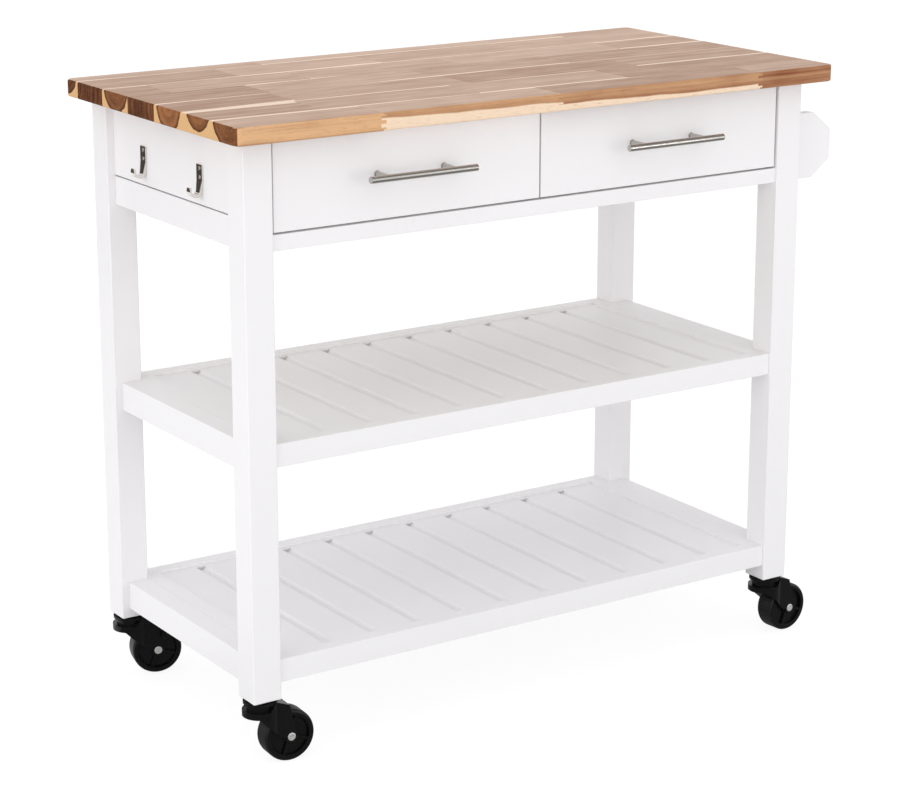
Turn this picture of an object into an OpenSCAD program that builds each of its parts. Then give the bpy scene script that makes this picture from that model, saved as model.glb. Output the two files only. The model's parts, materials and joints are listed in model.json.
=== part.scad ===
// Kitchen island cart: a butcher-block worktop on four square legs, with two drawers under it,
// two grooved shelves, two hooks on the left side, a towel bar on the right side and four
// swivel casters. +X runs to the right, +Y to the back and +Z up. The origin is on the floor,
// at the middle of the whole cart's footprint.

/* [Worktop] */
// Length of the worktop from left to right
top_length = 1016; // [900:1:1100]
// Depth of the worktop from front to back
top_depth = 508; // [460:1:560]
// Thickness of the worktop
top_thickness = 25; // [18:0.5:40]
// Radius of the worktop's corners seen from above
top_corner = 11; // [2:0.5:20]
// Height of the worktop's surface above the floor
top_height = 910; // [860:1:960]
// How far the worktop reaches past the legs at the left and right
side_overhang = 29; // [5:0.5:40]
// How far the worktop reaches past the legs at the front
front_overhang = 37.5; // [10:0.5:50]
// How far the worktop reaches past the legs at the back
back_overhang = 24.5; // [5:0.5:40]

/* [Legs and upper frame] */
// Side of a leg's square section
leg_size = 44; // [38:0.5:52]
// Width of the flat that eases each edge of a leg
leg_ease = 2; // [0.5:0.25:4]
// Height of the legs' lower ends above the floor
leg_foot_z = 97; // [95:0.5:110]
// How far the side panels and side rails lie inside the legs' outer faces
side_inset = 12; // [4:0.5:20]
// Thickness of a side panel
side_panel_t = 14; // [10:0.5:20]
// Height of a side panel under the worktop
side_panel_h = 109; // [90:0.5:120]
// Shadow gap between a side panel and the rail below it
panel_gap = 2; // [1:0.25:4]
// Height of a side rail, on the upper frame and on both shelves
side_rail_h = 42; // [36:0.5:50]
// Thickness of the back panel
back_panel_t = 12; // [8:0.5:18]
// How far the front rails and the drawer fronts lie inside the legs' front faces
front_inset = 4; // [1:0.25:8]
// Thickness of the front and back rails
end_rail_t = 22; // [16:0.5:28]
// Height of the apron rail under the drawers
apron_h = 22; // [16:0.5:30]
// Thickness of the divider between the drawers
divider_t = 18; // [14:0.5:22]
// Width of the two battens under the worktop
batten_w = 40; // [25:1:60]
// Thickness of the two battens under the worktop
batten_t = 16; // [12:0.5:20]

/* [Shelves] */
// Height of the middle shelf's frame above the floor
middle_shelf_z = 465; // [400:1:520]
// Height of the lower shelf's frame above the floor
lower_shelf_z = 154; // [145:1:200]
// Height of a shelf's front and back rails
end_rail_h = 33; // [26:0.5:40]
// Width of the stile at each end of a shelf
stile_w = 26; // [18:0.5:36]
// Thickness of the stiles
stile_t = 20; // [16:0.5:24]
// Thickness of a shelf's panel
shelf_panel_t = 12; // [10:0.5:16]
// Depth of the panel's face below the frame around it
shelf_panel_drop = 3.5; // [1:0.25:6]
// Number of grooves across a shelf's panel
groove_count = 10; // [4:1:14]
// Distance from one groove to the next
groove_pitch = 75.5; // [50:0.5:80]
// Width of a groove at the panel's face
groove_w = 16; // [8:0.5:22]
// Depth of a groove
groove_depth = 4.5; // [2:0.25:6]
// Distance from a groove's front end to the panel's front edge
groove_front_stop = 2; // [1:0.5:20]
// Distance from a groove's back end to the panel's back edge
groove_back_stop = 8; // [1:0.5:20]

/* [Drawers] */
// Gap round a drawer front
drawer_gap = 3; // [2:0.25:5]
// Thickness of a drawer front
drawer_front_t = 18; // [14:0.5:22]
// Space between a closed drawer and the back panel
drawer_back_gap = 10; // [4:1:60]
// Height of a drawer's sides
drawer_side_h = 98; // [60:1:102]
// Thickness of a drawer's sides and back
drawer_side_t = 12; // [10:0.5:15]
// Thickness of a drawer's bottom
drawer_bottom_t = 4; // [3:0.5:6]
// Depth of the groove that holds a drawer's bottom
bottom_groove = 5; // [3:0.5:7]
// Height of the drawer bottom's groove above the lower edge of the sides
bottom_rise = 9; // [6:0.5:14]
// Space between a drawer's side and the cabinet, filled by the slide
slide_space = 12.5; // [11:0.25:16]
// Sheet thickness of the slides
slide_sheet = 1.2; // [0.8:0.1:1.6]
// Height of a slide's channel
channel_h = 17; // [14:0.5:20]
// Running clearance inside a slide
slide_clear = 0.3; // [0.2:0.05:0.5]

/* [Drawer pulls] */
// Length of a pull's bar
pull_length = 172; // [120:1:240]
// Radius of a pull's bar
pull_r = 5; // [4:0.25:7]
// Distance between a pull's two posts
pull_centres = 108; // [64:1:110]
// Radius of a post
post_r = 4; // [3:0.25:4.5]
// Distance from the drawer front to the middle of the bar
pull_reach = 35; // [24:0.5:36]
// Radius of a pull screw's thread
pull_screw_r = 2; // [1.5:0.25:2.5]

/* [Towel bar] */
// How far a towel bracket stands out from the leg
bracket_reach = 72; // [60:1:90]
// Height of a towel bracket
bracket_h = 100; // [80:1:130]
// Thickness of a towel bracket
bracket_t = 16; // [12:0.5:24]
// Length along X of a bracket's sloping corners
bracket_slope_x = 35; // [20:1:40]
// Length along Z of a bracket's sloping corners
bracket_slope_z = 27; // [15:1:35]
// Distance from the leg's end face to the bracket
bracket_setback = 14; // [4:0.5:20]
// Height of the bracket's middle below the worktop's surface
bracket_drop = 130; // [115:1:160]
// Radius of the towel bar
bar_r = 14; // [9:0.5:16]
// Distance from the leg to the middle of the towel bar
bar_reach = 43; // [34:0.5:50]
// Depth of the towel bar's seat in each bracket
bar_seat = 8; // [5:0.5:10]

/* [Hooks] */
// Height of a hook
hook_h = 45; // [38:0.5:54]
// Width of a hook at its upper end
hook_w = 16; // [12:0.5:20]
// Thickness of a hook's upper end
hook_t = 2.5; // [1.5:0.25:3.5]
// Width of a hook's stem where it bends
hook_stem_w = 11; // [8:0.5:12]
// Thickness of a hook's stem
hook_stem_t = 5; // [4:0.25:6]
// How far a hook reaches out from the panel
hook_reach = 19.5; // [17:0.5:24]
// Height of a hook's tip above its lowest point
hook_tip_h = 14.5; // [12:0.5:18]
// Width of a hook's tip at its end
hook_tip_w = 7.5; // [5:0.5:8]
// Thickness of a hook's tip
hook_tip_t = 3; // [2:0.25:3.5]
// Distance between the two hooks
hook_spacing = 167; // [80:1:240]
// Height of the hooks' upper ends below the worktop's surface
hook_drop = 78; // [60:1:82]
// Distance from a hook's upper end to its first screw
hook_hole_a = 5; // [4:0.25:7]
// Distance from a hook's upper end to its second screw
hook_hole_b = 17.5; // [13:0.25:19]

/* [Screws] */
// Radius of a wood screw's shank at the towel brackets
wood_screw_r = 2.25; // [1.75:0.25:3]
// Radius of a wood screw's head at the towel brackets
wood_head_r = 4.5; // [3.5:0.25:6]
// Distance from the bracket's middle to each of its screws
bracket_screw_z = 30; // [18:1:38]
// Radius of a hook screw's shank
hook_screw_r = 1.75; // [1:0.25:2.25]
// Radius of a hook screw's head
hook_head_r = 2.5; // [2:0.25:3]

/* [Casters] */
// Radius of a wheel
wheel_r = 38; // [30:0.5:38]
// Width of a wheel's tread
wheel_w = 32; // [26:0.5:34]
// Radius that rounds the tread's shoulders
shoulder_r = 5; // [2:0.5:8]
// Radius of the recess in a wheel's face
recess_r = 29; // [22:0.5:29]
// Depth of the recess in a wheel's face
recess_depth = 5; // [2:0.5:7]
// Radius of a wheel's hub
hub_r = 10; // [8:0.5:12]
// Number of spokes in a wheel's recess
spoke_count = 4; // [3:1:8]
// Width of a spoke
spoke_w = 4; // [2:0.5:8]
// Distance from the swivel's axis to the wheel's axle
caster_trail = 38; // [36:0.5:40]
// Radius of an axle
axle_r = 4; // [3:0.25:5]
// Radius of an axle's end caps
axle_cap_r = 6; // [5:0.25:8]
// Thickness of an axle's end caps
axle_cap_t = 1; // [0.75:0.25:2]
// Gap between a wheel and the fork's arms
arm_gap = 1; // [0.5:0.25:2]
// Thickness of a fork's arms
arm_t = 3; // [2.5:0.25:4]
// Radius of the arm's end round the axle
arm_end_r = 9; // [7.5:0.5:11]
// Gap between the tread and the hood over it
hood_gap = 2; // [1:0.25:3]
// How far the hood over the wheel reaches in front of the swivel's axis
hood_x = 36; // [32:0.5:38]
// Thickness of the hood at its front end
hood_t = 8; // [5:0.5:9]
// Radius of the swivel cap's upper flange
flange_r = 24.5; // [22:0.5:25]
// Thickness of the swivel cap's upper flange
flange_t = 4; // [2:0.5:5]
// Radius of the swivel cap's neck
neck_r = 20; // [16:0.5:21]
// Height of the swivel cap's neck
neck_h = 9; // [6:0.5:10]
// Radius of the swivel cap's lower rim
rim_r = 26; // [25.5:0.25:28]
// Height of the swivel cap's lower rim
rim_h = 9; // [6:0.5:11]
// Radius of a caster's stem
stem_r = 4.95; // [4:0.05:5.5]
// Length of a caster's stem above the cap
stem_h = 36; // [28:1:44]
// Radius of the socket that holds the stem, inside the leg
socket_r = 7.5; // [6.5:0.25:9]
// Radius of the socket's flange under the leg
socket_flange_r = 12; // [9:0.5:16]
// Thickness of the socket's flange
socket_flange_t = 1.5; // [1:0.25:2.5]
// How far each caster is turned about its stem at rest, counter-clockwise from above
front_left_turn = -4; // [-30:1:30]
front_right_turn = 4; // [-30:1:30]
back_left_turn = -14; // [-30:1:30]
back_right_turn = 8; // [-30:1:30]
// Clearance of every shaft that turns in a bore
turn_clear = 0.05; // [0.03:0.01:0.08]
// Gap between a swivel cap and the socket above it
cap_gap = 0.5; // [0.3:0.1:1]

/* [Hidden] */
$fn = 64;

// Signs for the two sides and the two ends of the cart
left = -1;
right = 1;
front = -1;
back = 1;

// A cut runs this far past the face it opens through
past = 1;

// Colours
paint = [0.94, 0.93, 0.92];
oiled_wood = [0.62, 0.42, 0.27];
drawer_wood = [0.80, 0.68, 0.50];
steel = [0.70, 0.70, 0.71];
black_plastic = [0.10, 0.10, 0.11];
zinc = [0.75, 0.75, 0.74];

// Half the size over the legs along X, and the faces of the legs along Y
leg_half_x = top_length / 2 - side_overhang;
leg_front_y = -top_depth / 2 + front_overhang;
leg_back_y = top_depth / 2 - back_overhang;
leg_middle_y = (leg_front_y + leg_back_y) / 2;

// The cart's middle along X: the towel brackets reach past the worktop at the right only
right_end = max(top_length / 2, leg_half_x + bracket_reach);
cart_x = (top_length / 2 - right_end) / 2;

// Faces between the legs
inner_x = leg_half_x - leg_size;
inner_front_y = leg_front_y + leg_size;
inner_back_y = leg_back_y - leg_size;
side_face_x = leg_half_x - side_inset;
front_face_y = leg_front_y + front_inset;
back_face_y = leg_back_y - front_inset;
rail_back_of_front_y = front_face_y + end_rail_t;
rail_front_of_back_y = back_face_y - end_rail_t;
back_panel_y = leg_back_y - side_inset - back_panel_t;

// Heights of the upper frame
under_top_z = top_height - top_thickness;
side_panel_z = under_top_z - side_panel_h;
upper_rail_z = side_panel_z - panel_gap - side_rail_h;
apron_top_z = upper_rail_z + apron_h;
batten_z = under_top_z - batten_t;

// Grooves: the radius of the round cutter that gives their width and depth
groove_r = (groove_w * groove_w / 4 + groove_depth * groove_depth) / (2 * groove_depth);

// Drawer fronts and boxes
drawer_front_z = apron_top_z + drawer_gap;
drawer_front_h = under_top_z - drawer_gap - drawer_front_z;
drawer_front_w = inner_x - 1.5 * drawer_gap;
drawer_middle_x = drawer_gap / 2 + drawer_front_w / 2;
drawer_box_y = front_face_y + drawer_front_t;
drawer_box_length = back_panel_y - drawer_back_gap - drawer_box_y;
box_inner_x = divider_t / 2 + slide_space;
box_outer_x = inner_x - slide_space;
box_middle_x = (box_inner_x + box_outer_x) / 2;
box_w = box_outer_x - box_inner_x;
channel_z = apron_top_z + 2;
runner_z = channel_z + slide_sheet + slide_clear;
runner_h = channel_h - 3 * slide_sheet - slide_clear;
drawer_side_z = runner_z + slide_sheet;
drawer_bottom_z = drawer_side_z + bottom_rise;
pull_z = drawer_front_z + drawer_front_h / 2;
pull_bar_y = front_face_y - pull_reach;
pull_screw_head_r = 2 * pull_screw_r;
pull_screw_head_t = 2.5;
pull_screw_grip = 12;

// Towel bar and brackets
bracket_z = top_height - bracket_drop;
front_bracket_y = leg_front_y + bracket_setback;
back_bracket_y = leg_back_y - bracket_setback - bracket_t;
bracket_screw_hold = 20;
screw_head_depth = 10;
screw_head_t = 4;

// Hooks
hook_top_z = top_height - hook_drop;
hook_out_r = hook_reach / 2;
hook_in_r = (hook_reach - hook_tip_t - hook_stem_t) / 2;
hook_ramp_z = hook_top_z - hook_hole_b - 1.6 * hook_head_r;
hook_screw_hold = 10;
hook_head_t = 1.2;

// Casters
axle_z = wheel_r;
fork_half_w = wheel_w / 2 + arm_gap + arm_t;
slot_r = wheel_r + hood_gap;
cap_top_z = leg_foot_z - socket_flange_t - cap_gap;
flange_z = cap_top_z - flange_t;
neck_z = flange_z - neck_h;
rim_z = neck_z - rim_h;
hood_z = axle_z + slot_r + hood_t;
fork_front_x = caster_trail + arm_end_r;
fork_throat_x = 12;
shoulder_z = cap_top_z - 0.5;
shoulder_x = [4, 14];
stem_top_z = cap_top_z + stem_h;
socket_top_z = stem_top_z + 2;

// A block between two corners
module block(low, high) {
    translate(low)
        cube([for (i = [0:2]) high[i] - low[i]]);
}

// A square bar with eased long edges, standing on its lower end
module eased_bar(size, ease, h) {
    near = size / 2 - ease;
    far = size / 2;
    linear_extrude(height = h)
        polygon([
            [near, far], [-near, far], [-far, near], [-far, -near],
            [-near, -far], [near, -far], [far, -near], [far, near]
        ]);
}

// A cylinder along +Y from y
module rod_y(r, h, x, y, z) {
    translate([x, y, z])
        rotate([-90, 0, 0])
            cylinder(r = r, h = h);
}

// A cylinder along +X from x
module rod_x(r, h, x, y, z) {
    translate([x, y, z])
        rotate([0, 90, 0])
            cylinder(r = r, h = h);
}

// The worktop: one slab with round corners
module worktop() {
    half_x = top_length / 2;
    half_y = top_depth / 2;
    color(oiled_wood)
        translate([cart_x, 0, under_top_z])
            linear_extrude(height = top_thickness)
                union() {
                    square([top_length - 2 * top_corner, top_depth], center = true);
                    square([top_length, top_depth - 2 * top_corner], center = true);
                    for (x = [-1, 1], y = [-1, 1])
                        translate([x * (half_x - top_corner), y * (half_y - top_corner)])
                            circle(r = top_corner);
                }
}

// The middle of a leg, from the side and the end it stands at
function leg_x(side) = cart_x + side * (leg_half_x - leg_size / 2);
function leg_y(end) = end == front ? leg_front_y + leg_size / 2 : leg_back_y - leg_size / 2;

// A leg, with the bore for its caster's socket and, at the right, the towel bracket's screws
module leg(side, end) {
    color(paint)
        difference() {
            translate([leg_x(side), leg_y(end), leg_foot_z])
                eased_bar(leg_size, leg_ease, under_top_z - leg_foot_z);
            translate([leg_x(side), leg_y(end), leg_foot_z - past])
                cylinder(r = socket_r, h = socket_top_z - leg_foot_z + past);
            if (side == right)
                for (z = [-1, 1] * bracket_screw_z)
                    bracket_screw_holes(end, z);
        }
}

// The clearance hole and the head's counterbore of one towel bracket screw, through a leg
module bracket_screw_holes(end, z) {
    rod_x(wood_screw_r, leg_size + 2 * past, cart_x + inner_x - past, bracket_middle_y(end), bracket_z + z);
    rod_x(wood_head_r, screw_head_depth + past, cart_x + inner_x - past, bracket_middle_y(end), bracket_z + z);
}

function bracket_middle_y(end) = (end == front ? front_bracket_y : back_bracket_y) + bracket_t / 2;

// A side panel between two legs, right under the worktop
module side_panel(side) {
    color(paint)
        difference() {
            side_block(side, side_panel_t, side_panel_z, side_panel_h);
            if (side == left)
                for (y = hook_places, z = hook_screw_places)
                    rod_x(hook_screw_r, hook_screw_hold + past, cart_x - side_face_x - past, y, z);
        }
}

// A board between the legs of one side, its outer face in line with the side panels
module side_block(side, t, z, h) {
    outer = side * side_face_x;
    inner = side * (side_face_x - t);
    block([cart_x + min(outer, inner), inner_front_y, z], [cart_x + max(outer, inner), inner_back_y, z + h]);
}

// A side rail, as thick as the space from the side face to the legs' inner faces
module side_rail(side, top_z) {
    color(paint)
        side_block(side, side_face_x - inner_x, top_z - side_rail_h, side_rail_h);
}

// The panel that closes the back of the drawer space
module back_panel() {
    color(paint)
        block([cart_x - inner_x, back_panel_y, upper_rail_z], [cart_x + inner_x, back_panel_y + back_panel_t, under_top_z]);
}

// A rail between the two front legs or the two back legs
module end_rail(end, top_z, h) {
    y = end == front ? front_face_y : rail_front_of_back_y;
    color(paint)
        block([cart_x - inner_x, y, top_z - h], [cart_x + inner_x, y + end_rail_t, top_z]);
}

// The divider between the drawers
module centre_divider() {
    color(paint)
        block(
            [cart_x - divider_t / 2, rail_back_of_front_y, upper_rail_z],
            [cart_x + divider_t / 2, back_panel_y, batten_z]
        );
}

// The two battens that hold the worktop: behind the drawer fronts and before the back panel
module worktop_battens() {
    color(paint)
        for (y = [rail_back_of_front_y, back_panel_y - batten_w])
            block([cart_x - inner_x, y, batten_z], [cart_x + inner_x, y + batten_w, under_top_z]);
}

// A slide's channel, open towards the drawer; wall is the face it is screwed to
module drawer_channel(wall, toward) {
    depth = slide_space - slide_sheet - 2.5;
    y0 = drawer_box_y + slide_clear;
    y1 = drawer_box_y + drawer_box_length;
    web = wall + toward * slide_sheet;
    lip = wall + toward * depth;
    for (span = [[wall, web, 0, channel_h], [wall, lip, 0, slide_sheet], [wall, lip, channel_h - slide_sheet, channel_h]])
        block(
            [cart_x + min(span[0], span[1]), y0, channel_z + span[2]],
            [cart_x + max(span[0], span[1]), y1, channel_z + span[3]]
        );
}

// The four channels: two on the side rails and two on the divider
module drawer_channels() {
    color(zinc)
        for (side = [left, right]) {
            drawer_channel(side * inner_x, -side);
            drawer_channel(side * divider_t / 2, side);
        }
}

// The two stiles of a shelf, inside the side rails
module shelf_stiles(top_z) {
    color(paint)
        for (x = [-inner_x, inner_x - stile_w])
            block(
                [cart_x + x, rail_back_of_front_y, top_z - stile_t],
                [cart_x + x + stile_w, rail_front_of_back_y, top_z]
            );
}

// A shelf's panel with its round grooves, which stop short of its front and back edges
module shelf_panel(top_z) {
    half = inner_x - stile_w;
    face_z = top_z - shelf_panel_drop;
    groove_front_y = rail_back_of_front_y + groove_front_stop;
    groove_back_y = rail_front_of_back_y - groove_back_stop;
    color(paint)
        difference() {
            block([cart_x - half, rail_back_of_front_y, face_z - shelf_panel_t], [cart_x + half, rail_front_of_back_y, face_z]);
            for (i = [0:groove_count - 1])
                rod_y(
                    groove_r, groove_back_y - groove_front_y,
                    cart_x + (i - (groove_count - 1) / 2) * groove_pitch,
                    groove_front_y,
                    face_z + groove_r - groove_depth
                );
        }
}

// A towel bracket: a board on edge with two sloping corners and a blind seat for the bar
module towel_bracket(end) {
    y = end == front ? front_bracket_y : back_bracket_y;
    seat_y = end == front ? y + bracket_t - bar_seat : y - past;
    flat_x = bracket_reach - bracket_slope_x;
    flat_z = bracket_h / 2 - bracket_slope_z;
    color(paint)
        difference() {
            translate([cart_x + leg_half_x, y + bracket_t, bracket_z])
                rotate([90, 0, 0])
                    linear_extrude(height = bracket_t)
                        polygon([
                            [0, -bracket_h / 2], [flat_x, -bracket_h / 2], [bracket_reach, -flat_z],
                            [bracket_reach, flat_z], [flat_x, bracket_h / 2], [0, bracket_h / 2]
                        ]);
            rod_y(bar_r, bar_seat + past, cart_x + leg_half_x + bar_reach, seat_y, bracket_z);
            for (z = [-1, 1] * bracket_screw_z)
                rod_x(wood_screw_r, bracket_screw_hold + past, cart_x + leg_half_x - past, bracket_middle_y(end), bracket_z + z);
        }
}

// The towel bar, seated in both brackets
module towel_bar() {
    y0 = front_bracket_y + bracket_t - bar_seat;
    y1 = back_bracket_y + bar_seat;
    color(paint)
        rod_y(bar_r, y1 - y0, cart_x + leg_half_x + bar_reach, y0, bracket_z);
}

// The screws that run from inside the right legs into the towel brackets
module towel_bracket_screws() {
    head_x = cart_x + inner_x + screw_head_depth - screw_head_t;
    color(zinc)
        for (end = [front, back], z = [-1, 1] * bracket_screw_z) {
            rod_x(wood_head_r, screw_head_t, head_x, bracket_middle_y(end), bracket_z + z);
            rod_x(
                wood_screw_r, leg_size - screw_head_depth + screw_head_t + bracket_screw_hold,
                head_x, bracket_middle_y(end), bracket_z + z
            );
        }
}

// Where the two hooks stand along Y, and where their screws lie along Z
hook_places = [leg_middle_y - hook_spacing / 2, leg_middle_y + hook_spacing / 2];
hook_screw_places = [hook_top_z - hook_hole_a, hook_top_z - hook_hole_b];

// A part of a hook: its outline seen from the front, cut to its outline seen from the left
module hook_part(y, front_outline, left_outline) {
    intersection() {
        translate([0, y + hook_w / 2, 0])
            rotate([90, 0, 0])
                linear_extrude(height = hook_w)
                    polygon(front_outline);
        translate([cart_x - side_face_x - hook_reach - past, y, 0])
            rotate([90, 0, 90])
                linear_extrude(height = hook_reach + 2 * past)
                    polygon(left_outline);
    }
}

// A J-shaped hook: a flat upper end, a stem that thickens downwards, a half-round bend and a tip that
// narrows upwards. The stem and the tip end in points inside the bend.
module hook(y) {
    low_z = hook_top_z - hook_h;
    bend_z = low_z + hook_out_r;
    tip_z = low_z + hook_tip_h;
    face_x = cart_x - side_face_x;
    tip_x = face_x - hook_reach;
    half = hook_stem_w / 2;
    color(steel)
        difference() {
            union() {
                hook_part(y, [
                    [face_x, bend_z], [face_x, hook_top_z], [face_x - hook_t, hook_top_z],
                    [face_x - hook_t, hook_ramp_z], [face_x - hook_stem_t, bend_z],
                    [face_x - hook_stem_t / 2, bend_z - hook_stem_t / 2]
                ], [
                    [-half, low_z], [half, low_z], [half, bend_z], [hook_w / 2, hook_ramp_z],
                    [hook_w / 2, hook_top_z + past], [-hook_w / 2, hook_top_z + past],
                    [-hook_w / 2, hook_ramp_z], [-half, bend_z]
                ]);
                difference() {
                    rod_y(hook_out_r, hook_stem_w, face_x - hook_out_r, y - half, bend_z);
                    rod_y(
                        hook_in_r, hook_stem_w + 2 * past,
                        face_x - hook_stem_t - hook_in_r, y - half - past, bend_z
                    );
                    block(
                        [tip_x - past, y - half - past, bend_z],
                        [face_x + past, y + half + past, bend_z + hook_out_r + past]
                    );
                }
                hook_part(y, [
                    [tip_x, bend_z], [tip_x + hook_tip_t / 2, bend_z - hook_tip_t / 2],
                    [tip_x + hook_tip_t, bend_z], [tip_x + hook_tip_t, tip_z + past], [tip_x, tip_z + past]
                ], [
                    [-half, low_z], [half, low_z], [half, bend_z], [hook_tip_w / 2, tip_z],
                    [-hook_tip_w / 2, tip_z], [-half, bend_z]
                ]);
            }
            for (z = hook_screw_places)
                rod_x(hook_screw_r, hook_t + 2 * past, face_x - hook_t - past, y, z);
        }
}

// The four screws that hold the hooks to the left side panel
module hook_screws() {
    face_x = cart_x - side_face_x;
    color(steel)
        for (y = hook_places, z = hook_screw_places) {
            rod_x(hook_head_r, hook_head_t, face_x - hook_t - hook_head_t, y, z);
            rod_x(hook_screw_r, hook_head_t + hook_t + hook_screw_hold, face_x - hook_t - hook_head_t, y, z);
        }
}

// A drawer front with the groove for the drawer's bottom and the holes for the pull's screws
module drawer_front(side) {
    x = cart_x + side * drawer_middle_x;
    box_x = cart_x + side * box_middle_x;
    bottom_half = box_w / 2 - drawer_side_t + bottom_groove;
    color(paint)
        difference() {
            block(
                [x - drawer_front_w / 2, front_face_y, drawer_front_z],
                [x + drawer_front_w / 2, front_face_y + drawer_front_t, drawer_front_z + drawer_front_h]
            );
            block(
                [box_x - bottom_half, drawer_box_y - bottom_groove, drawer_bottom_z],
                [box_x + bottom_half, drawer_box_y + past, drawer_bottom_z + drawer_bottom_t]
            );
            for (post = [-1, 1] * pull_centres / 2)
                rod_y(pull_screw_r, drawer_front_t + 2 * past, x + post, front_face_y - past, pull_z);
        }
}

// The two sides of a drawer, grooved for its bottom
module drawer_sides(side) {
    x = cart_x + side * box_middle_x;
    y1 = drawer_box_y + drawer_box_length;
    color(drawer_wood)
        for (s = [-1, 1]) {
            outer = x + s * box_w / 2;
            inner = outer - s * drawer_side_t;
            groove = inner + s * bottom_groove;
            difference() {
                block([min(outer, inner), drawer_box_y, drawer_side_z], [max(outer, inner), y1, drawer_side_z + drawer_side_h]);
                block(
                    [min(groove, inner - s * past), drawer_box_y - past, drawer_bottom_z],
                    [max(groove, inner - s * past), y1 + past, drawer_bottom_z + drawer_bottom_t]
                );
            }
        }
}

// The back of a drawer, standing on its bottom between its sides
module drawer_back(side) {
    x = cart_x + side * box_middle_x;
    half = box_w / 2 - drawer_side_t;
    y1 = drawer_box_y + drawer_box_length;
    color(drawer_wood)
        block(
            [x - half, y1 - drawer_side_t, drawer_bottom_z + drawer_bottom_t],
            [x + half, y1, drawer_side_z + drawer_side_h]
        );
}

// The bottom of a drawer, held in the grooves of its front and sides
module drawer_bottom(side) {
    x = cart_x + side * box_middle_x;
    half = box_w / 2 - drawer_side_t + bottom_groove;
    color(drawer_wood)
        block(
            [x - half, drawer_box_y - bottom_groove, drawer_bottom_z],
            [x + half, drawer_box_y + drawer_box_length, drawer_bottom_z + drawer_bottom_t]
        );
}

// The two runners of a drawer: each wraps the lower edge of a side and rides in its channel
module drawer_runners(side) {
    x = cart_x + side * box_middle_x;
    y0 = drawer_box_y + slide_clear;
    y1 = drawer_box_y + drawer_box_length;
    color(zinc)
        for (s = [-1, 1]) {
            outer = x + s * box_w / 2;
            web = outer + s * slide_sheet;
            lip = outer + s * (slide_space - slide_sheet - slide_clear);
            hem = outer - s * drawer_side_t;
            block([min(hem, lip), y0, runner_z], [max(hem, lip), y1, runner_z + slide_sheet]);
            block([min(outer, web), y0, runner_z], [max(outer, web), y1, runner_z + runner_h]);
        }
}

// A pull: a round bar on two posts
module drawer_pull(side) {
    x = cart_x + side * drawer_middle_x;
    color(steel)
        difference() {
            union() {
                rod_x(pull_r, pull_length, x - pull_length / 2, pull_bar_y, pull_z);
                for (post = [-1, 1] * pull_centres / 2)
                    rod_y(post_r, pull_reach, x + post, pull_bar_y, pull_z);
            }
            for (post = [-1, 1] * pull_centres / 2)
                rod_y(pull_screw_r, pull_screw_grip + past, x + post, front_face_y - pull_screw_grip, pull_z);
        }
}

// The two screws of a pull, with their heads inside the drawer
module pull_screws(side) {
    x = cart_x + side * drawer_middle_x;
    color(zinc)
        for (post = [-1, 1] * pull_centres / 2) {
            rod_y(
                pull_screw_r, pull_screw_grip + drawer_front_t + pull_screw_head_t,
                x + post, front_face_y - pull_screw_grip, pull_z
            );
            rod_y(pull_screw_head_r, pull_screw_head_t, x + post, drawer_box_y, pull_z);
        }
}

// The four sockets in the legs' lower ends, each with a flange and a bore for the stem
module caster_sockets() {
    color(zinc)
        for (side = [left, right], end = [front, back])
            translate([leg_x(side), leg_y(end), 0])
                difference() {
                    union() {
                        translate([0, 0, leg_foot_z])
                            cylinder(r = socket_r, h = socket_top_z - leg_foot_z);
                        translate([0, 0, leg_foot_z - socket_flange_t])
                            cylinder(r = socket_flange_r, h = socket_flange_t);
                    }
                    translate([0, 0, leg_foot_z - socket_flange_t - past])
                        cylinder(r = stem_r + turn_clear, h = socket_top_z - leg_foot_z + socket_flange_t + 2 * past);
                }
}

// Where the straight line from p touches the circle of radius r round c, on its lower side
function touch(p, c, r) =
    let (d = norm(c - p), lean = atan2(c[1] - p[1], c[0] - p[0]), open = asin(r / d))
    p + sqrt(d * d - r * r) * [cos(lean - open), sin(lean - open)];

// Places a caster's pieces at a corner's leg, turned about the stem
module at_caster(side, end) {
    turn = end == front
        ? (side == left ? front_left_turn : front_right_turn)
        : (side == left ? back_left_turn : back_right_turn);
    translate([leg_x(side), leg_y(end), 0])
        rotate([0, 0, turn])
            children();
}

// A fork: the waisted swivel cap with its stem, the hood over the wheel and the two arms
module fork(side, end) {
    axle = [caster_trail, axle_z];
    throat = [-fork_throat_x, rim_z];
    color(black_plastic)
        at_caster(side, end)
            difference() {
                union() {
                    translate([0, 0, flange_z])
                        cylinder(r = flange_r, h = flange_t);
                    translate([0, 0, neck_z - past])
                        cylinder(r = neck_r, h = neck_h + 2 * past);
                    translate([0, 0, cap_top_z])
                        cylinder(r = stem_r, h = stem_h);
                    intersection() {
                        union() {
                            translate([0, 0, axle_z])
                                cylinder(r = rim_r, h = cap_top_z - axle_z);
                            block([0, -fork_half_w, axle_z], [fork_front_x, fork_half_w, cap_top_z]);
                        }
                        translate([0, rim_r + past, 0])
                            rotate([90, 0, 0])
                                linear_extrude(height = 2 * (rim_r + past))
                                    polygon([
                                        throat, touch(throat, axle, arm_end_r), axle, [fork_front_x, axle_z],
                                        [hood_x, hood_z], [shoulder_x[1], shoulder_z],
                                        [shoulder_x[0], neck_z], [-rim_r - past, neck_z], [-rim_r - past, rim_z]
                                    ]);
                    }
                    rod_y(arm_end_r, 2 * fork_half_w, caster_trail, -fork_half_w, axle_z);
                }
                rod_y(slot_r, wheel_w + 2 * arm_gap, caster_trail, -wheel_w / 2 - arm_gap, axle_z);
                rod_y(axle_r, 2 * fork_half_w + 2 * past, caster_trail, -fork_half_w - past, axle_z);
            }
}

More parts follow.
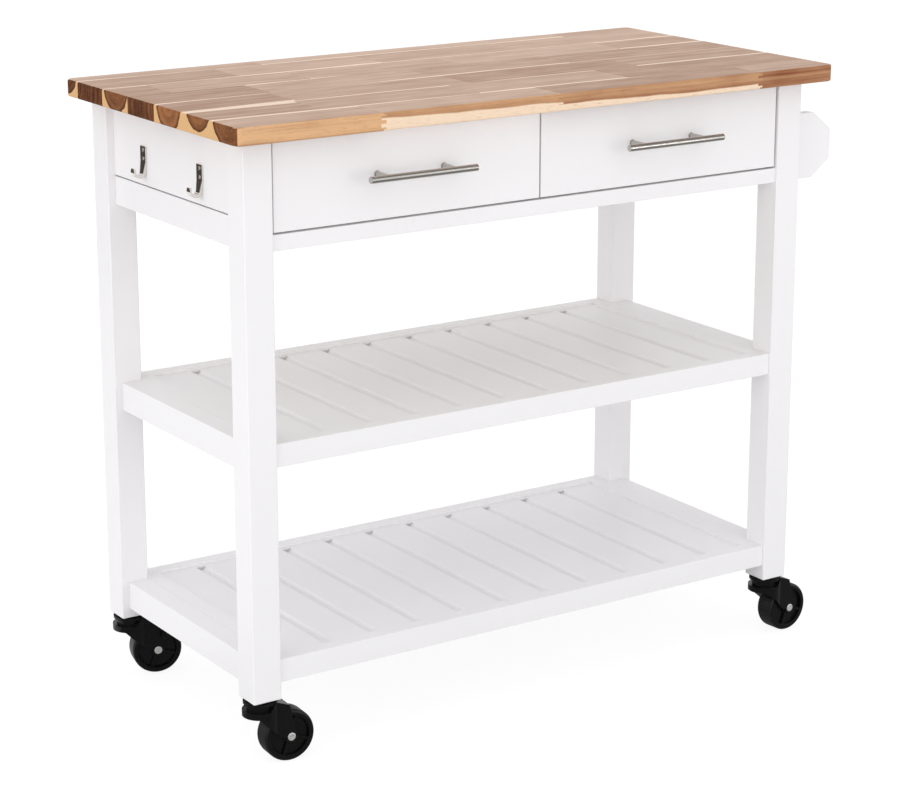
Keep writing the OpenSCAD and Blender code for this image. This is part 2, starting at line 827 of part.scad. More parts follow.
// The profile of a wheel from its axis outwards: half of it, mirrored about the middle plane
module wheel_profile() {
    half = wheel_w / 2;
    steps = 6;
    shoulder = [for (i = [0:steps]) [
        wheel_r - shoulder_r + shoulder_r * sin(90 * i / steps),
        half - shoulder_r + shoulder_r * cos(90 * i / steps)
    ]];
    upper = concat(
        [[0, half], [hub_r, half], [hub_r, half - recess_depth], [recess_r, half - recess_depth], [recess_r, half]],
        shoulder
    );
    lower = [for (i = [len(upper) - 1:-1:0]) [upper[i][0], -upper[i][1]]];
    polygon(concat(upper, lower));
}

// A wheel with recessed faces, spokes across them and a bore for the axle
module wheel(side, end) {
    color(black_plastic)
        at_caster(side, end)
            translate([caster_trail, 0, axle_z])
                rotate([90, 0, 0])
                    difference() {
                        union() {
                            rotate_extrude()
                                wheel_profile();
                            for (i = [0:spoke_count - 1])
                                rotate([0, 0, 360 * i / spoke_count])
                                    translate([0, -spoke_w / 2, -wheel_w / 2 + recess_depth / 3])
                                        cube([recess_r + past, spoke_w, wheel_w - 2 * recess_depth / 3]);
                        }
                        cylinder(r = axle_r + turn_clear, h = wheel_w + 2 * past, center = true);
                    }
}

// An axle with a cap at each end, fixed in the fork's arms
module axle(side, end) {
    color(steel)
        at_caster(side, end) {
            rod_y(axle_r, 2 * fork_half_w, caster_trail, -fork_half_w, axle_z);
            rod_y(axle_cap_r, axle_cap_t, caster_trail, -fork_half_w - axle_cap_t, axle_z);
            rod_y(axle_cap_r, axle_cap_t, caster_trail, fork_half_w, axle_z);
        }
}

worktop();
leg(left, front);  // front_left_leg
leg(right, front);  // front_right_leg
leg(left, back);  // back_left_leg
leg(right, back);  // back_right_leg
side_panel(left);  // left_side_panel
side_panel(right);  // right_side_panel
side_rail(left, upper_rail_z + side_rail_h);  // left_upper_rail
side_rail(right, upper_rail_z + side_rail_h);  // right_upper_rail
back_panel();
end_rail(front, apron_top_z, apron_h);  // apron_rail
centre_divider();
worktop_battens();
drawer_channels();
side_rail(left, middle_shelf_z);  // middle_left_rail
side_rail(right, middle_shelf_z);  // middle_right_rail
end_rail(front, middle_shelf_z, end_rail_h);  // middle_front_rail
end_rail(back, middle_shelf_z, end_rail_h);  // middle_back_rail
shelf_stiles(middle_shelf_z);  // middle_stiles
shelf_panel(middle_shelf_z);  // middle_panel
side_rail(left, lower_shelf_z);  // lower_left_rail
side_rail(right, lower_shelf_z);  // lower_right_rail
end_rail(front, lower_shelf_z, end_rail_h);  // lower_front_rail
end_rail(back, lower_shelf_z, end_rail_h);  // lower_back_rail
shelf_stiles(lower_shelf_z);  // lower_stiles
shelf_panel(lower_shelf_z);  // lower_panel
towel_bracket(front);  // front_towel_bracket
towel_bracket(back);  // back_towel_bracket
towel_bar();
towel_bracket_screws();
hook(hook_places[0]);  // front_hook
hook(hook_places[1]);  // back_hook
hook_screws();
caster_sockets();
drawer_front(left);  // left_drawer_front
drawer_sides(left);  // left_drawer_sides
drawer_back(left);  // left_drawer_back
drawer_bottom(left);  // left_drawer_bottom
drawer_runners(left);  // left_drawer_runners
drawer_pull(left);  // left_drawer_pull
pull_screws(left);  // left_pull_screws
drawer_front(right);  // right_drawer_front
drawer_sides(right);  // right_drawer_sides
drawer_back(right);  // right_drawer_back
drawer_bottom(right);  // right_drawer_bottom
drawer_runners(right);  // right_drawer_runners
drawer_pull(right);  // right_drawer_pull
pull_screws(right);  // right_pull_screws
fork(left, front);  // front_left_fork
wheel(left, front);  // front_left_wheel
axle(left, front);  // front_left_axle
fork(right, front);  // front_right_fork
wheel(right, front);  // front_right_wheel
axle(right, front);  // front_right_axle
fork(left, back);  // back_left_fork
wheel(left, back);  // back_left_wheel
axle(left, back);  // back_left_axle
fork(right, back);  // back_right_fork
wheel(right, back);  // back_right_wheel
axle(right, back);  // back_right_axle
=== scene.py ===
"""A kitchen island cart: acacia worktop, white lacquered frame, drawers, shelves and casters."""

from functools import cache
import json
import math
import random

import bmesh
import bpy
from bpy.props import FloatProperty, FloatVectorProperty, PointerProperty
from mathutils import Matrix, Vector


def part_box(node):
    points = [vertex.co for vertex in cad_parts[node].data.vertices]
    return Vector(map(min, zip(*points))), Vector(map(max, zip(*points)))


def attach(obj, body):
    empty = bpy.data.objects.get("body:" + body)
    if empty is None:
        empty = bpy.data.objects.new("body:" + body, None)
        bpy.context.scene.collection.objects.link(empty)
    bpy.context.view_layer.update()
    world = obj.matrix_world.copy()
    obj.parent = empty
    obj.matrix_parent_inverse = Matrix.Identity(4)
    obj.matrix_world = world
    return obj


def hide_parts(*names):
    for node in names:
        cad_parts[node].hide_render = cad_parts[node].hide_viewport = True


bl_info = {
    "name": "Kitchen Island Cart",
    "version": (1, 0, 0),
    "blender": (4, 5, 0),
    "location": "View3D > Sidebar > Island Cart",
    "description": "Dresses the kitchen island cart's frame with its boards, fittings and finishes",
    "category": "Object",
}

MM = 0.001

# Points closer than this are one point
TOUCH = 0.01 * MM

# The sockets of a colour Mix node, whose names are those of its float and vector sockets too
FAC, MIX_A, MIX_B, MIXED = 0, 6, 7, 2

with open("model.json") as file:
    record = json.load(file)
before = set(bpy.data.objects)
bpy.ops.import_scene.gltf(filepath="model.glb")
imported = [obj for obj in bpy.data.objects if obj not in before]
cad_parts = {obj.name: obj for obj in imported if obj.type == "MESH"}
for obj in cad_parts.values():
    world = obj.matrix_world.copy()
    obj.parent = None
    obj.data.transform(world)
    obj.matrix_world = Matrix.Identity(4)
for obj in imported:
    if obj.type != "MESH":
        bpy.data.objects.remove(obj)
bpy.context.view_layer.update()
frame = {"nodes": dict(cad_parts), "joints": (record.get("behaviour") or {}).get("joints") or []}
nodes = frame["nodes"]

CORNERS = ("front_left", "front_right", "back_left", "back_right")
SIDES = ("left", "right")

# The cabinet's square-edged boards
CABINET_BOARDS = (
    "left_side_panel", "right_side_panel", "left_upper_rail", "right_upper_rail",
    "back_panel", "apron_rail", "centre_divider",
    "middle_left_rail", "middle_right_rail", "middle_front_rail", "middle_back_rail",
    "lower_left_rail", "lower_right_rail", "lower_front_rail", "lower_back_rail",
)

# The worktop's kinds of surface, in the order of its materials and of a stave's shades
FACE, END, EDGE = 0, 1, 2

# Logs are moved back by this, so that the colour layer that places them stays above zero
LOG_SHIFT = 0.5


class Stave:
    """One stave of the worktop, sawn from its own small log.

    end: where it ends, from the worktop's middle. shade: 0 for pale heartwood, 1 for dark.
    sap_back, sap_front: the sapwood's width at each edge of its face, below zero where the
    heartwood runs on past the edge. pith: the log's middle, above the face or below it.
    end_shade, edge_shade: its shade on the worktop's ends and on its long edges.
    """

    def __init__(self, end, shade, sap_back, sap_front, pith=12, end_shade=0.6, edge_shade=0.4):
        self.end = end * MM
        self.sap_back = sap_back * MM
        self.sap_front = sap_front * MM
        self.pith = pith * MM
        self.shades = (shade, end_shade, edge_shade)


# The rows of staves from back to front: each row's width, then its staves from left to right
STAVE_ROWS = (
    (41, (Stave(-205, 0.40, -15, 3, 8, 0.8), Stave(350, 0.15, -12, 7, 8),
          Stave(508, 0.35, -12, 3, 8, 0.6))),
    (79, (Stave(-287, 0.60, -120, -6, -5, 0.85), Stave(-45, 0.30, -4, 2),
          Stave(205, 0.40, -6, -6, -12), Stave(508, 0.30, -6, 0, -12, 0.7))),
    (79, (Stave(-440, 0.65, 4, 3, 10, 0.5), Stave(-215, 0.45, 6, 0), Stave(45, 0.40, 4, 2),
          Stave(345, 0.25, 3, 2), Stave(508, 0.55, 8, 7, 9, 0.5))),
    (79, (Stave(-325, 0.85, -6, -120, -8, 0.8), Stave(-55, 0.40, 3, 2), Stave(190, 0.60, 4, 4),
          Stave(508, 0.70, 2, -1, -9, 0.8))),
    (81, (Stave(-332, 0.85, 5, 8, 4, 0.3), Stave(-45, 0.55, 2, 3), Stave(255, 0.80, 3, 1),
          Stave(508, 0.60, -1, 11, 6, 0.5))),
    (84, (Stave(-338, 0.65, 15, 8, 16, 0.45), Stave(-85, 0.45, 6, 3), Stave(172, 0.45, 5, 4),
          Stave(508, 0.80, -3, 1, -10, 0.7))),
    (65, (Stave(-285, 0.45, 3, -19, 11, 0.6, 0.05), Stave(5, 0.35, 4, -6, 12.5, 0.6, 0.25),
          Stave(365, 0.80, 3, -11, 11.7, 0.6, 0.42), Stave(508, 0.50, 2, -30, 12, 0.7, 0.65))),
)


def linear(code):
    """The linear colour of an sRGB hex value."""
    parts = [int(code[i:i + 2], 16) / 255 for i in (0, 2, 4)]
    return tuple(c / 12.92 if c <= 0.04045 else ((c + 0.055) / 1.055) ** 2.4 for c in parts)


def colour_setting(name, description, code):
    """A colour that the user can change."""
    return FloatVectorProperty(
        name=name, description=description, default=linear(code), min=0.0, max=1.0, subtype="COLOR")


# ---------------------------------------------------------------- settings

class WorktopSettings(bpy.types.PropertyGroup):
    """The worktop's woods and edges"""
    heart_light: colour_setting("Light heartwood", "The palest heartwood", "D3AF95")
    heart_dark: colour_setting("Dark heartwood", "The darkest heartwood", "9A673C")
    sapwood: colour_setting("Sapwood", "The sapwood on the face", "FBDFC6")
    edge_light: colour_setting("Light edge", "The palest heartwood on the long edges", "E0B183")
    edge_dark: colour_setting("Dark edge", "The darkest heartwood on the long edges", "7C3812")
    edge_sapwood: colour_setting("Edge sapwood", "The sapwood on the long edges", "F8E0C6")
    end_light: colour_setting("Light end grain", "The palest heartwood on the ends", "AA7046")
    end_dark: colour_setting("Dark end grain", "The darkest heartwood on the ends", "431F0F")
    end_sapwood: colour_setting("End-grain sapwood", "The sapwood on the ends", "E6BB86")
    ring_spacing: FloatProperty(
        name="Ring spacing", description="Usual distance between growth rings",
        default=7 * MM, min=1 * MM, max=20 * MM, unit="LENGTH")
    corner: FloatProperty(
        name="Corner radius", description="Radius of the worktop's corners seen from above",
        default=11 * MM, min=2 * MM, max=40 * MM, unit="LENGTH")
    arris: FloatProperty(
        name="Arris", description="Radius that rounds the worktop's edges",
        default=2.5 * MM, min=0.5 * MM, max=8 * MM, unit="LENGTH")


class PaintSettings(bpy.types.PropertyGroup):
    """The white lacquer and the edges under it"""
    lacquer: colour_setting("Lacquer", "The white lacquer", "F5F3F4")
    arris: FloatProperty(
        name="Arris", description="Radius that rounds a board's edges",
        default=0.6 * MM, min=0.2 * MM, max=4 * MM, unit="LENGTH")
    leg_arris: FloatProperty(
        name="Leg arris", description="Radius that rounds a leg's edges",
        default=1.8 * MM, min=0.2 * MM, max=4 * MM, unit="LENGTH")
    groove_arris: FloatProperty(
        name="Groove arris", description="Radius that softens a shelf groove's lips",
        default=0.3 * MM, min=0.1 * MM, max=1.5 * MM, unit="LENGTH")


class FittingSettings(bpy.types.PropertyGroup):
    """The pulls, hooks, slides, screws and drawer boxes"""
    steel: colour_setting("Brushed steel", "The drawer pulls", "C6C2BD")
    nickel: colour_setting("Polished nickel", "The hooks", "E6E2DC")
    zinc: colour_setting("Zinc plate", "The slides, sockets and screws", "B9BBBD")
    drawer_wood: colour_setting("Drawer box", "The drawer boxes' wood", "F2EBDD")
    hook_edge: FloatProperty(
        name="Hook edge", description="Radius that rounds a hook's edges",
        default=0.7 * MM, min=0.1 * MM, max=1.2 * MM, unit="LENGTH")


class CasterSettings(bpy.types.PropertyGroup):
    """The casters' plastics, rivets and edges"""
    nylon: colour_setting("Black nylon", "The forks and wheels", "0B0B0C")
    tread: colour_setting("Tread", "The wheels' treads", "101011")
    rivet: colour_setting("Rivet", "The axles' heads", "EFEFEC")
    fork_edge: FloatProperty(
        name="Fork edge", description="Radius that rounds a fork's edges",
        default=0.9 * MM, min=0.1 * MM, max=1.4 * MM, unit="LENGTH")


class StageSettings(bpy.types.PropertyGroup):
    """The background and the lights"""
    background: colour_setting("Background", "What stands behind the cart", "FFFFFF")
    room: FloatProperty(
        name="Room light", description="Strength of the even light from all around",
        default=1.0, min=0.0, max=3.0)
    key: FloatProperty(
        name="Key light", description="Power of the large low lamp at the left",
        default=20.0, min=0.0, max=500.0, unit="POWER")
    glint: FloatProperty(
        name="Glint light", description="Power of the small lamps that make edges shine",
        default=4.0, min=0.0, max=50.0, unit="POWER")


# ---------------------------------------------------------------- small helpers

def settings():
    """All the settings of the scene, by group."""
    return bpy.context.scene.island_cart


def rgba(colour, share=1.0):
    """A share of a colour's strength, with its alpha."""
    return (*(c * share for c in colour), 1.0)


def spacing(*sizes):
    """The scale of a pattern whose marks lie this many millimetres apart along X, Y and Z."""
    return tuple(1 / (size * MM) for size in sizes)


def new_material(name):
    """A material and its empty node tree."""
    material = bpy.data.materials.new(name)
    material.use_nodes = True
    material.node_tree.nodes.clear()
    return material, material.node_tree


def add(tree, kind, inputs=None, **options):
    """Adds a node with its options. Returns its outputs.

    inputs: by socket, each a value or another node's output.
    """
    node = tree.nodes.new("ShaderNode" + kind)
    for name, value in options.items():
        setattr(node, name, value)
    for socket, value in (inputs or {}).items():
        if isinstance(value, bpy.types.NodeSocket):
            tree.links.new(value, node.inputs[socket])
        else:
            node.inputs[socket].default_value = value
    return node.outputs


def finish_piece(name, shape, materials, body, node):
    """Makes a piece from a bmesh, which rides on its body in place of a CAD node."""
    mesh = bpy.data.meshes.new(name)
    shape.to_mesh(mesh)
    shape.free()
    for material in materials:
        mesh.materials.append(material)
    piece = bpy.data.objects.new(name, mesh)
    bpy.context.scene.collection.objects.link(piece)
    # The large faces shade flat, and only the rounded edges between them turn the light
    piece.modifiers.new("even shading", "WEIGHTED_NORMAL").keep_sharp = True
    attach(piece, body)
    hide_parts(node)


def smooth(shape, angle):
    """Smooth faces, with the edges that turn by more than the angle, in degrees, kept crisp."""
    for face in shape.faces:
        face.smooth = True
    limit = math.radians(angle)
    for edge in shape.edges:
        edge.smooth = len(edge.link_faces) == 2 and edge.calc_face_angle(0) < limit


def add_block(shape, low, high, turn=Matrix.Identity(4)):
    """A box between two corners, then turned, added to the bmesh. Returns its vertices."""
    low, high = Vector(low), Vector(high)
    place = turn @ Matrix.Translation((low + high) / 2) @ Matrix.Diagonal((*(high - low), 1.0))
    return bmesh.ops.create_cube(shape, size=1.0, matrix=place)["verts"]


def add_rod(shape, start, end, radius, segments=48):
    """A cylinder between two points, added to the bmesh. Returns its vertices."""
    start, end = Vector(start), Vector(end)
    axis = end - start
    turn = Vector((0, 0, 1)).rotation_difference(axis).to_matrix().to_4x4()
    place = Matrix.Translation((start + end) / 2) @ turn
    return bmesh.ops.create_cone(
        shape, cap_ends=True, segments=segments, radius1=radius, radius2=radius,
        depth=axis.length, matrix=place)["verts"]


def edges_of(verts):
    """The edges whose two ends are both among the vertices."""
    chosen = set(verts)
    return [e for e in {e for v in verts for e in v.link_edges} if set(e.verts) <= chosen]


def end_edges(verts):
    """The edges round a rod's two ends."""
    return [e for e in edges_of(verts) if e.calc_face_angle(0) > math.radians(60)]


def round_edges(shape, edges, width, segments):
    """Bevels the edges to a round of the given width."""
    bmesh.ops.bevel(
        shape, geom=list(edges), offset=width, offset_type="OFFSET", affect="EDGES",
        segments=segments, profile=0.5, material=-1, clamp_overlap=True)


def board(name, node, arris, segments=2):
    """A lacquered board with softly rounded edges, in the place of a CAD board."""
    shape = bmesh.new()
    verts = add_block(shape, *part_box(node))
    round_edges(shape, edges_of(verts), arris, segments)
    smooth(shape, 50)
    finish_piece(name, shape, [white_lacquer()], "cabinet", node)


def softened(name, node, material, body, width, segments=2, angle=28, rim=True):
    """A copy of a CAD node with its sharp edges rounded.

    angle: how many degrees an edge has to turn to count as sharp. rim: False keeps the edges
    round the outside of the node's box square.
    """
    shape = bmesh.new()
    shape.from_mesh(nodes[node].data)
    bmesh.ops.remove_doubles(shape, verts=shape.verts, dist=TOUCH)
    bmesh.ops.dissolve_limit(
        shape, angle_limit=math.radians(0.5), verts=shape.verts, edges=shape.edges)
    limit = math.radians(angle)
    sharp = [e for e in shape.edges if len(e.link_faces) == 2 and e.calc_face_angle(0) > limit]
    if not rim:
        sharp = [e for e in sharp if not on_rim(e, *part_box(node))]
    round_edges(shape, sharp, width, segments)
    smooth(shape, 40)
    finish_piece(name, shape, [material], body, node)


def on_rim(edge, low, high):
    """Whether an edge lies in the front, back, left or right side of a box."""
    return any(all(abs(v.co[axis] - corner[axis]) < TOUCH for v in edge.verts)
               for axis in (0, 1) for corner in (low, high))


def paint_node(node, material):
    """Gives a CAD node its finish."""
    slots = nodes[node].data.materials
    slots.clear()
    slots.append(material)


# ---------------------------------------------------------------- materials

@cache
def white_lacquer():
    """Satin white lacquer, sprayed on hardwood."""
    # The coat is thick and even: a soft broad sheen, faint orange peel and no grain
    material, tree = new_material("satin white lacquer on hardwood")
    white = settings().paint.lacquer
    place = add(tree, "TexCoord")["Object"]
    cloud = add(tree, "TexNoise", {"Vector": place, "Scale": 1 / (110 * MM), "Detail": 3.0})["Fac"]
    colour = add(tree, "Mix", {FAC: cloud, MIX_A: rgba(white), MIX_B: rgba(white, 0.975)},
                 data_type="RGBA")[MIXED]
    # Painted shade: the lacquer turns darker where its own board closes round a point, as in the
    # grooves' hollows
    open_air = add(tree, "AmbientOcclusion", {"Distance": 9 * MM}, samples=8, only_local=True)["AO"]
    painted_groove_shade = add(tree, "MapRange", {"Value": open_air, "From Min": 0.95, "From Max": 0.45,
                                    "To Max": 0.5})["Result"]
    colour = add(tree, "Mix", {FAC: painted_groove_shade, MIX_A: colour, MIX_B: rgba(white, 0.3)},
                 data_type="RGBA")[MIXED]
    # Orange peel: dimples about 2 mm apart and a few microns deep
    peel = add(tree, "TexNoise", {"Vector": place, "Scale": 1 / (2 * MM), "Detail": 1.0})["Fac"]
    bump = add(tree, "Bump", {"Height": peel, "Strength": 0.12, "Distance": 0.05 * MM})["Normal"]
    coat = add(tree, "BsdfPrincipled", {"Base Color": colour, "Roughness": 0.42, "Normal": bump})
    add(tree, "OutputMaterial", {"Surface": coat["BSDF"]})
    return material


def pith_distance(tree, place, log, seed):
    """How far a place in the wood lies from its log's pith, as unevenly as the log grew."""
    # The pith wanders by a centimetre along the stave
    reach = 22 * MM
    along = add(tree, "Mapping", {"Vector": place, "Scale": spacing(400, 2000, 2000)})["Vector"]
    wander = add(tree, "TexNoise", {"Vector": along, "W": seed, "Scale": 1.0, "Detail": 1.0},
                 noise_dimensions="4D")["Fac"]
    wander = add(tree, "Math", {0: wander, 1: reach, 2: LOG_SHIFT - reach / 2},
                 operation="MULTIPLY_ADD")[0]
    wander = add(tree, "CombineXYZ", {"Y": wander})["Vector"]
    shifted = add(tree, "VectorMath", {0: place, 1: wander}, operation="ADD")["Vector"]
    offset = add(tree, "VectorMath", {0: shifted, 1: log}, operation="SUBTRACT")["Vector"]
    across = add(tree, "VectorMath", {0: offset, 1: (0, 1, 1)}, operation="MULTIPLY")["Vector"]
    radius = add(tree, "VectorMath", {0: across}, operation="LENGTH")["Value"]
    # The rings wobble by a few millimetres
    fibrous = add(tree, "Mapping", {"Vector": place, "Scale": spacing(125, 12.5, 12.5)})["Vector"]
    wobble = add(tree, "TexNoise", {"Vector": fibrous, "W": seed, "Scale": 1.0, "Detail": 2.0},
                 noise_dimensions="4D")["Fac"]
    return add(tree, "Math", {0: wobble, 1: 6 * MM, 2: radius}, operation="MULTIPLY_ADD")[0]


def acacia(name, light, dark, sap, rim, rings, streaks, roughness, gloss):
    """Oiled acacia, drawn from each stave's own log, so that all its faces agree.

    light, dark, sap: its colours. rim, rings, streaks: how strongly the heartwood's dark rim, the
    growth rings and the fibres show. gloss: how strongly the oil's skin mirrors.
    """
    material, tree = new_material(name)
    place = add(tree, "TexCoord")["Object"]
    log = add(tree, "Attribute", attribute_name="log")["Vector"]
    heart_radius = add(tree, "SeparateXYZ", {"Vector": log})["X"]
    tone = add(tree, "Attribute", attribute_name="tone")["Vector"]
    tone_parts = add(tree, "SeparateXYZ", {"Vector": tone})
    # No two staves share a part of the noise
    seed = add(tree, "Math", {0: tone_parts["Y"], 1: 50.0}, operation="MULTIPLY")[0]
    radius = pith_distance(tree, place, log, seed)
    past_heart = add(tree, "Math", {0: radius, 1: heart_radius}, operation="SUBTRACT")[0]
    sapwood = add(tree, "MapRange", {"Value": past_heart, "From Min": 3 * MM, "From Max": 4.6 * MM},
                  interpolation_type="SMOOTHSTEP")["Result"]

    # Growth rings: bands of uneven width, in step with the distance from the pith
    turns = add(tree, "Math", {0: radius, 1: 1 / settings().worktop.ring_spacing, 2: seed},
                operation="MULTIPLY_ADD")[0]
    ring = add(tree, "TexNoise", {"W": turns, "Scale": 1.0, "Detail": 2.0, "Roughness": 0.6},
               noise_dimensions="1D")["Fac"]
    ring = add(tree, "MapRange", {"Value": ring, "From Min": 0.32, "From Max": 0.68})["Result"]
    # Fibres: streaks a millimetre or two wide and a hand long, and broader clouds of figure
    grain = add(tree, "Mapping", {"Vector": place, "Scale": spacing(200, 2.38, 2.38)})["Vector"]
    streak = add(tree, "TexNoise", {"Vector": grain, "W": seed, "Scale": 1.0, "Detail": 3.0,
                                    "Roughness": 0.6}, noise_dimensions="4D")["Fac"]
    curl = add(tree, "Mapping", {"Vector": place, "Scale": spacing(71.4, 25, 25)})["Vector"]
    figure = add(tree, "TexNoise", {"Vector": curl, "W": seed, "Scale": 1.0, "Detail": 2.0},
                 noise_dimensions="4D")["Fac"]
    # The stave's shade lies at the middle of what its rings and fibres add to it
    shade = add(tree, "Math", {0: tone_parts["X"], 1: rings / 2 + streaks},
                operation="SUBTRACT")[0]
    shade = add(tree, "Math", {0: ring, 1: rings, 2: shade}, operation="MULTIPLY_ADD")[0]
    shade = add(tree, "Math", {0: streak, 1: streaks, 2: shade}, operation="MULTIPLY_ADD")[0]
    shade = add(tree, "Math", {0: figure, 1: streaks, 2: shade}, operation="MULTIPLY_ADD",
                use_clamp=True)[0]
    heart = add(tree, "Mix", {FAC: shade, MIX_A: rgba(light), MIX_B: rgba(dark)},
                data_type="RGBA")[MIXED]

    # The heartwood's outermost ring is its darkest
    edge = add(tree, "MapRange", {"Value": past_heart, "From Min": -2 * MM, "From Max": 3.5 * MM,
                                  "To Max": rim}, interpolation_type="SMOOTHSTEP")["Result"]
    heart = add(tree, "Mix", {FAC: edge, MIX_A: heart, MIX_B: rgba(dark)},
                data_type="RGBA")[MIXED]
    faint = add(tree, "Math", {0: streak, 1: 0.3}, operation="MULTIPLY")[0]
    pale = add(tree, "Mix", {FAC: faint, MIX_A: rgba(sap), MIX_B: rgba(light)},
               data_type="RGBA")[MIXED]
    wood = add(tree, "Mix", {FAC: sapwood, MIX_A: heart, MIX_B: pale}, data_type="RGBA")[MIXED]

    # Open pores: short dashes along the grain, drawn about twice as coarse as the real ones
    dashes = add(tree, "Mapping", {"Vector": place, "Scale": spacing(14.3, 0.667, 0.667)})["Vector"]
    pores = add(tree, "TexNoise", {"Vector": dashes, "Scale": 1.0, "Detail": 1.0})["Fac"]
    pores = add(tree, "MapRange", {"Value": pores, "From Min": 0.60, "From Max": 0.72,
                                   "To Max": 0.3})["Result"]
    wood = add(tree, "Mix", {FAC: pores, MIX_A: wood, MIX_B: rgba(dark)},
               data_type="RGBA")[MIXED]
    relief = add(tree, "Math", {0: streak, 1: pores}, operation="SUBTRACT")[0]
    bump = add(tree, "Bump", {"Height": relief, "Strength": 0.25, "Distance": 0.1 * MM})["Normal"]
    oil = add(tree, "BsdfPrincipled", {"Base Color": wood, "Roughness": roughness,
                                       "Specular IOR Level": gloss, "Normal": bump})
    add(tree, "OutputMaterial", {"Surface": oil["BSDF"]})
    return material


@cache
def acacia_face():
    """Oiled acacia, planed long grain on the worktop's face."""
    # Tan to brown heart, cream sap lines and a soft sheen at low angles
    wood = settings().worktop
    return acacia("oiled acacia long grain", wood.heart_light, wood.heart_dark, wood.sapwood,
                  rim=0.5, rings=0.35, streaks=0.9, roughness=0.42, gloss=0.5)


@cache
def acacia_edge():
    """Oiled acacia, planed long grain on the worktop's long edges."""
    # Cut across the log's rings, so it is more golden and more varied than the face
    wood = settings().worktop
    return acacia("oiled acacia edge grain", wood.edge_light, wood.edge_dark, wood.edge_sapwood,
                  rim=0.3, rings=0.25, streaks=0.6, roughness=0.5, gloss=0.25)


@cache
def acacia_end():
    """Oiled acacia, sanded end grain on the worktop's ends."""
    # End grain drinks the oil, so the heart turns dark brown and the sap turns to honey
    wood = settings().worktop
    return acacia("oiled acacia end grain", wood.end_light, wood.end_dark, wood.end_sapwood,
                  rim=0.9, rings=0.28, streaks=0.6, roughness=0.6, gloss=0.08)


@cache
def clear_poplar():
    """Clear lacquered poplar of the drawer boxes."""
    # Pale, even and straight-grained, with faint darker streaks
    material, tree = new_material("clear lacquered poplar")
    pale = settings().fittings.drawer_wood
    place = add(tree, "TexCoord")["Object"]
    fine = add(tree, "Mapping", {"Vector": place, "Scale": spacing(8, 125, 4)})["Vector"]
    grain = add(tree, "TexNoise", {"Vector": fine, "Scale": 1.0, "Detail": 4.0})["Fac"]
    wide = add(tree, "Mapping", {"Vector": place, "Scale": spacing(80, 500, 33)})["Vector"]
    broad = add(tree, "TexNoise", {"Vector": wide, "Scale": 1.0, "Detail": 2.0,
                                   "Distortion": 0.6})["Fac"]
    both = add(tree, "Math", {0: grain, 1: broad}, operation="ADD")[0]
    both = add(tree, "MapRange", {"Value": both, "From Min": 0.7, "From Max": 1.3})["Result"]
    colour = add(tree, "Mix", {FAC: both, MIX_A: rgba(pale), MIX_B: rgba(pale, 0.78)},
                 data_type="RGBA")[MIXED]
    bump = add(tree, "Bump", {"Height": grain, "Strength": 0.2, "Distance": 0.05 * MM})["Normal"]
    coat = add(tree, "BsdfPrincipled", {"Base Color": colour, "Roughness": 0.45, "Normal": bump})
    add(tree, "OutputMaterial", {"Surface": coat["BSDF"]})
    return material


@cache
def brushed_steel():
    """Brushed stainless steel of the drawer pulls."""
    # Brushed round the bar: hairlines that break up the highlight along it, drawn several times
    # as coarse as the real ones
    material, tree = new_material("brushed stainless steel")
    steel = settings().fittings.steel
    place = add(tree, "TexCoord")["Object"]
    fine = add(tree, "Mapping", {"Vector": place, "Scale": spacing(0.385, 33, 33)})["Vector"]
    hairs = add(tree, "TexNoise", {"Vector": fine, "Scale": 1.0, "Detail": 2.0})["Fac"]
    colour = add(tree, "Mix", {FAC: hairs, MIX_A: rgba(steel, 0.8), MIX_B: rgba(steel)},
                 data_type="RGBA")[MIXED]
    rough = add(tree, "Math", {0: hairs, 1: 0.12, 2: 0.16}, operation="MULTIPLY_ADD")[0]
    bump = add(tree, "Bump", {"Height": hairs, "Strength": 0.15, "Distance": 0.02 * MM})["Normal"]
    metal = add(tree, "BsdfPrincipled", {"Base Color": colour, "Metallic": 1.0, "Roughness": rough,
                                         "Normal": bump})
    add(tree, "OutputMaterial", {"Surface": metal["BSDF"]})
    return material


def clouded_metal(name, colour, darkest, cloud_size, detail, smoothest, uneven):
    """A metal whose tone and shine vary in soft clouds.

    darkest: the share of the colour that is left in a cloud's middle. smoothest, uneven: the
    roughness where it is least, and what the clouds add to it.
    """
    material, tree = new_material(name)
    place = add(tree, "TexCoord")["Object"]
    cloud = add(tree, "TexNoise", {"Vector": place, "Scale": 1 / cloud_size,
                                   "Detail": detail})["Fac"]
    tone = add(tree, "Mix", {FAC: cloud, MIX_A: rgba(colour, darkest), MIX_B: rgba(colour)},
               data_type="RGBA")[MIXED]
    rough = add(tree, "Math", {0: cloud, 1: uneven, 2: smoothest}, operation="MULTIPLY_ADD")[0]
    metal = add(tree, "BsdfPrincipled", {"Base Color": tone, "Metallic": 1.0, "Roughness": rough})
    add(tree, "OutputMaterial", {"Surface": metal["BSDF"]})
    return material


@cache
def polished_nickel():
    """Polished nickel plate of the hooks."""
    # Nearly a mirror, a little warm, with a faint haze of polishing
    return clouded_metal("polished nickel plate", settings().fittings.nickel, darkest=0.85,
                         cloud_size=5.5 * MM, detail=3.0, smoothest=0.06, uneven=0.1)


@cache
def zinc_plate():
    """Bright zinc plate on the slides, screws and sockets."""
    # Electroplated cold-rolled sheet: light grey with a cloudy spangle
    return clouded_metal("bright zinc plate", settings().fittings.zinc, darkest=0.75,
                         cloud_size=11 * MM, detail=4.0, smoothest=0.25, uneven=0.2)


@cache
def bright_rivet():
    """Cold-headed steel of the axles' rivets."""
    # Tumbled after heading: light grey, with a dull shine and small dents
    return clouded_metal("tumbled steel rivet", settings().casters.rivet, darkest=0.8,
                         cloud_size=1.7 * MM, detail=2.0, smoothest=0.5, uneven=0.2)


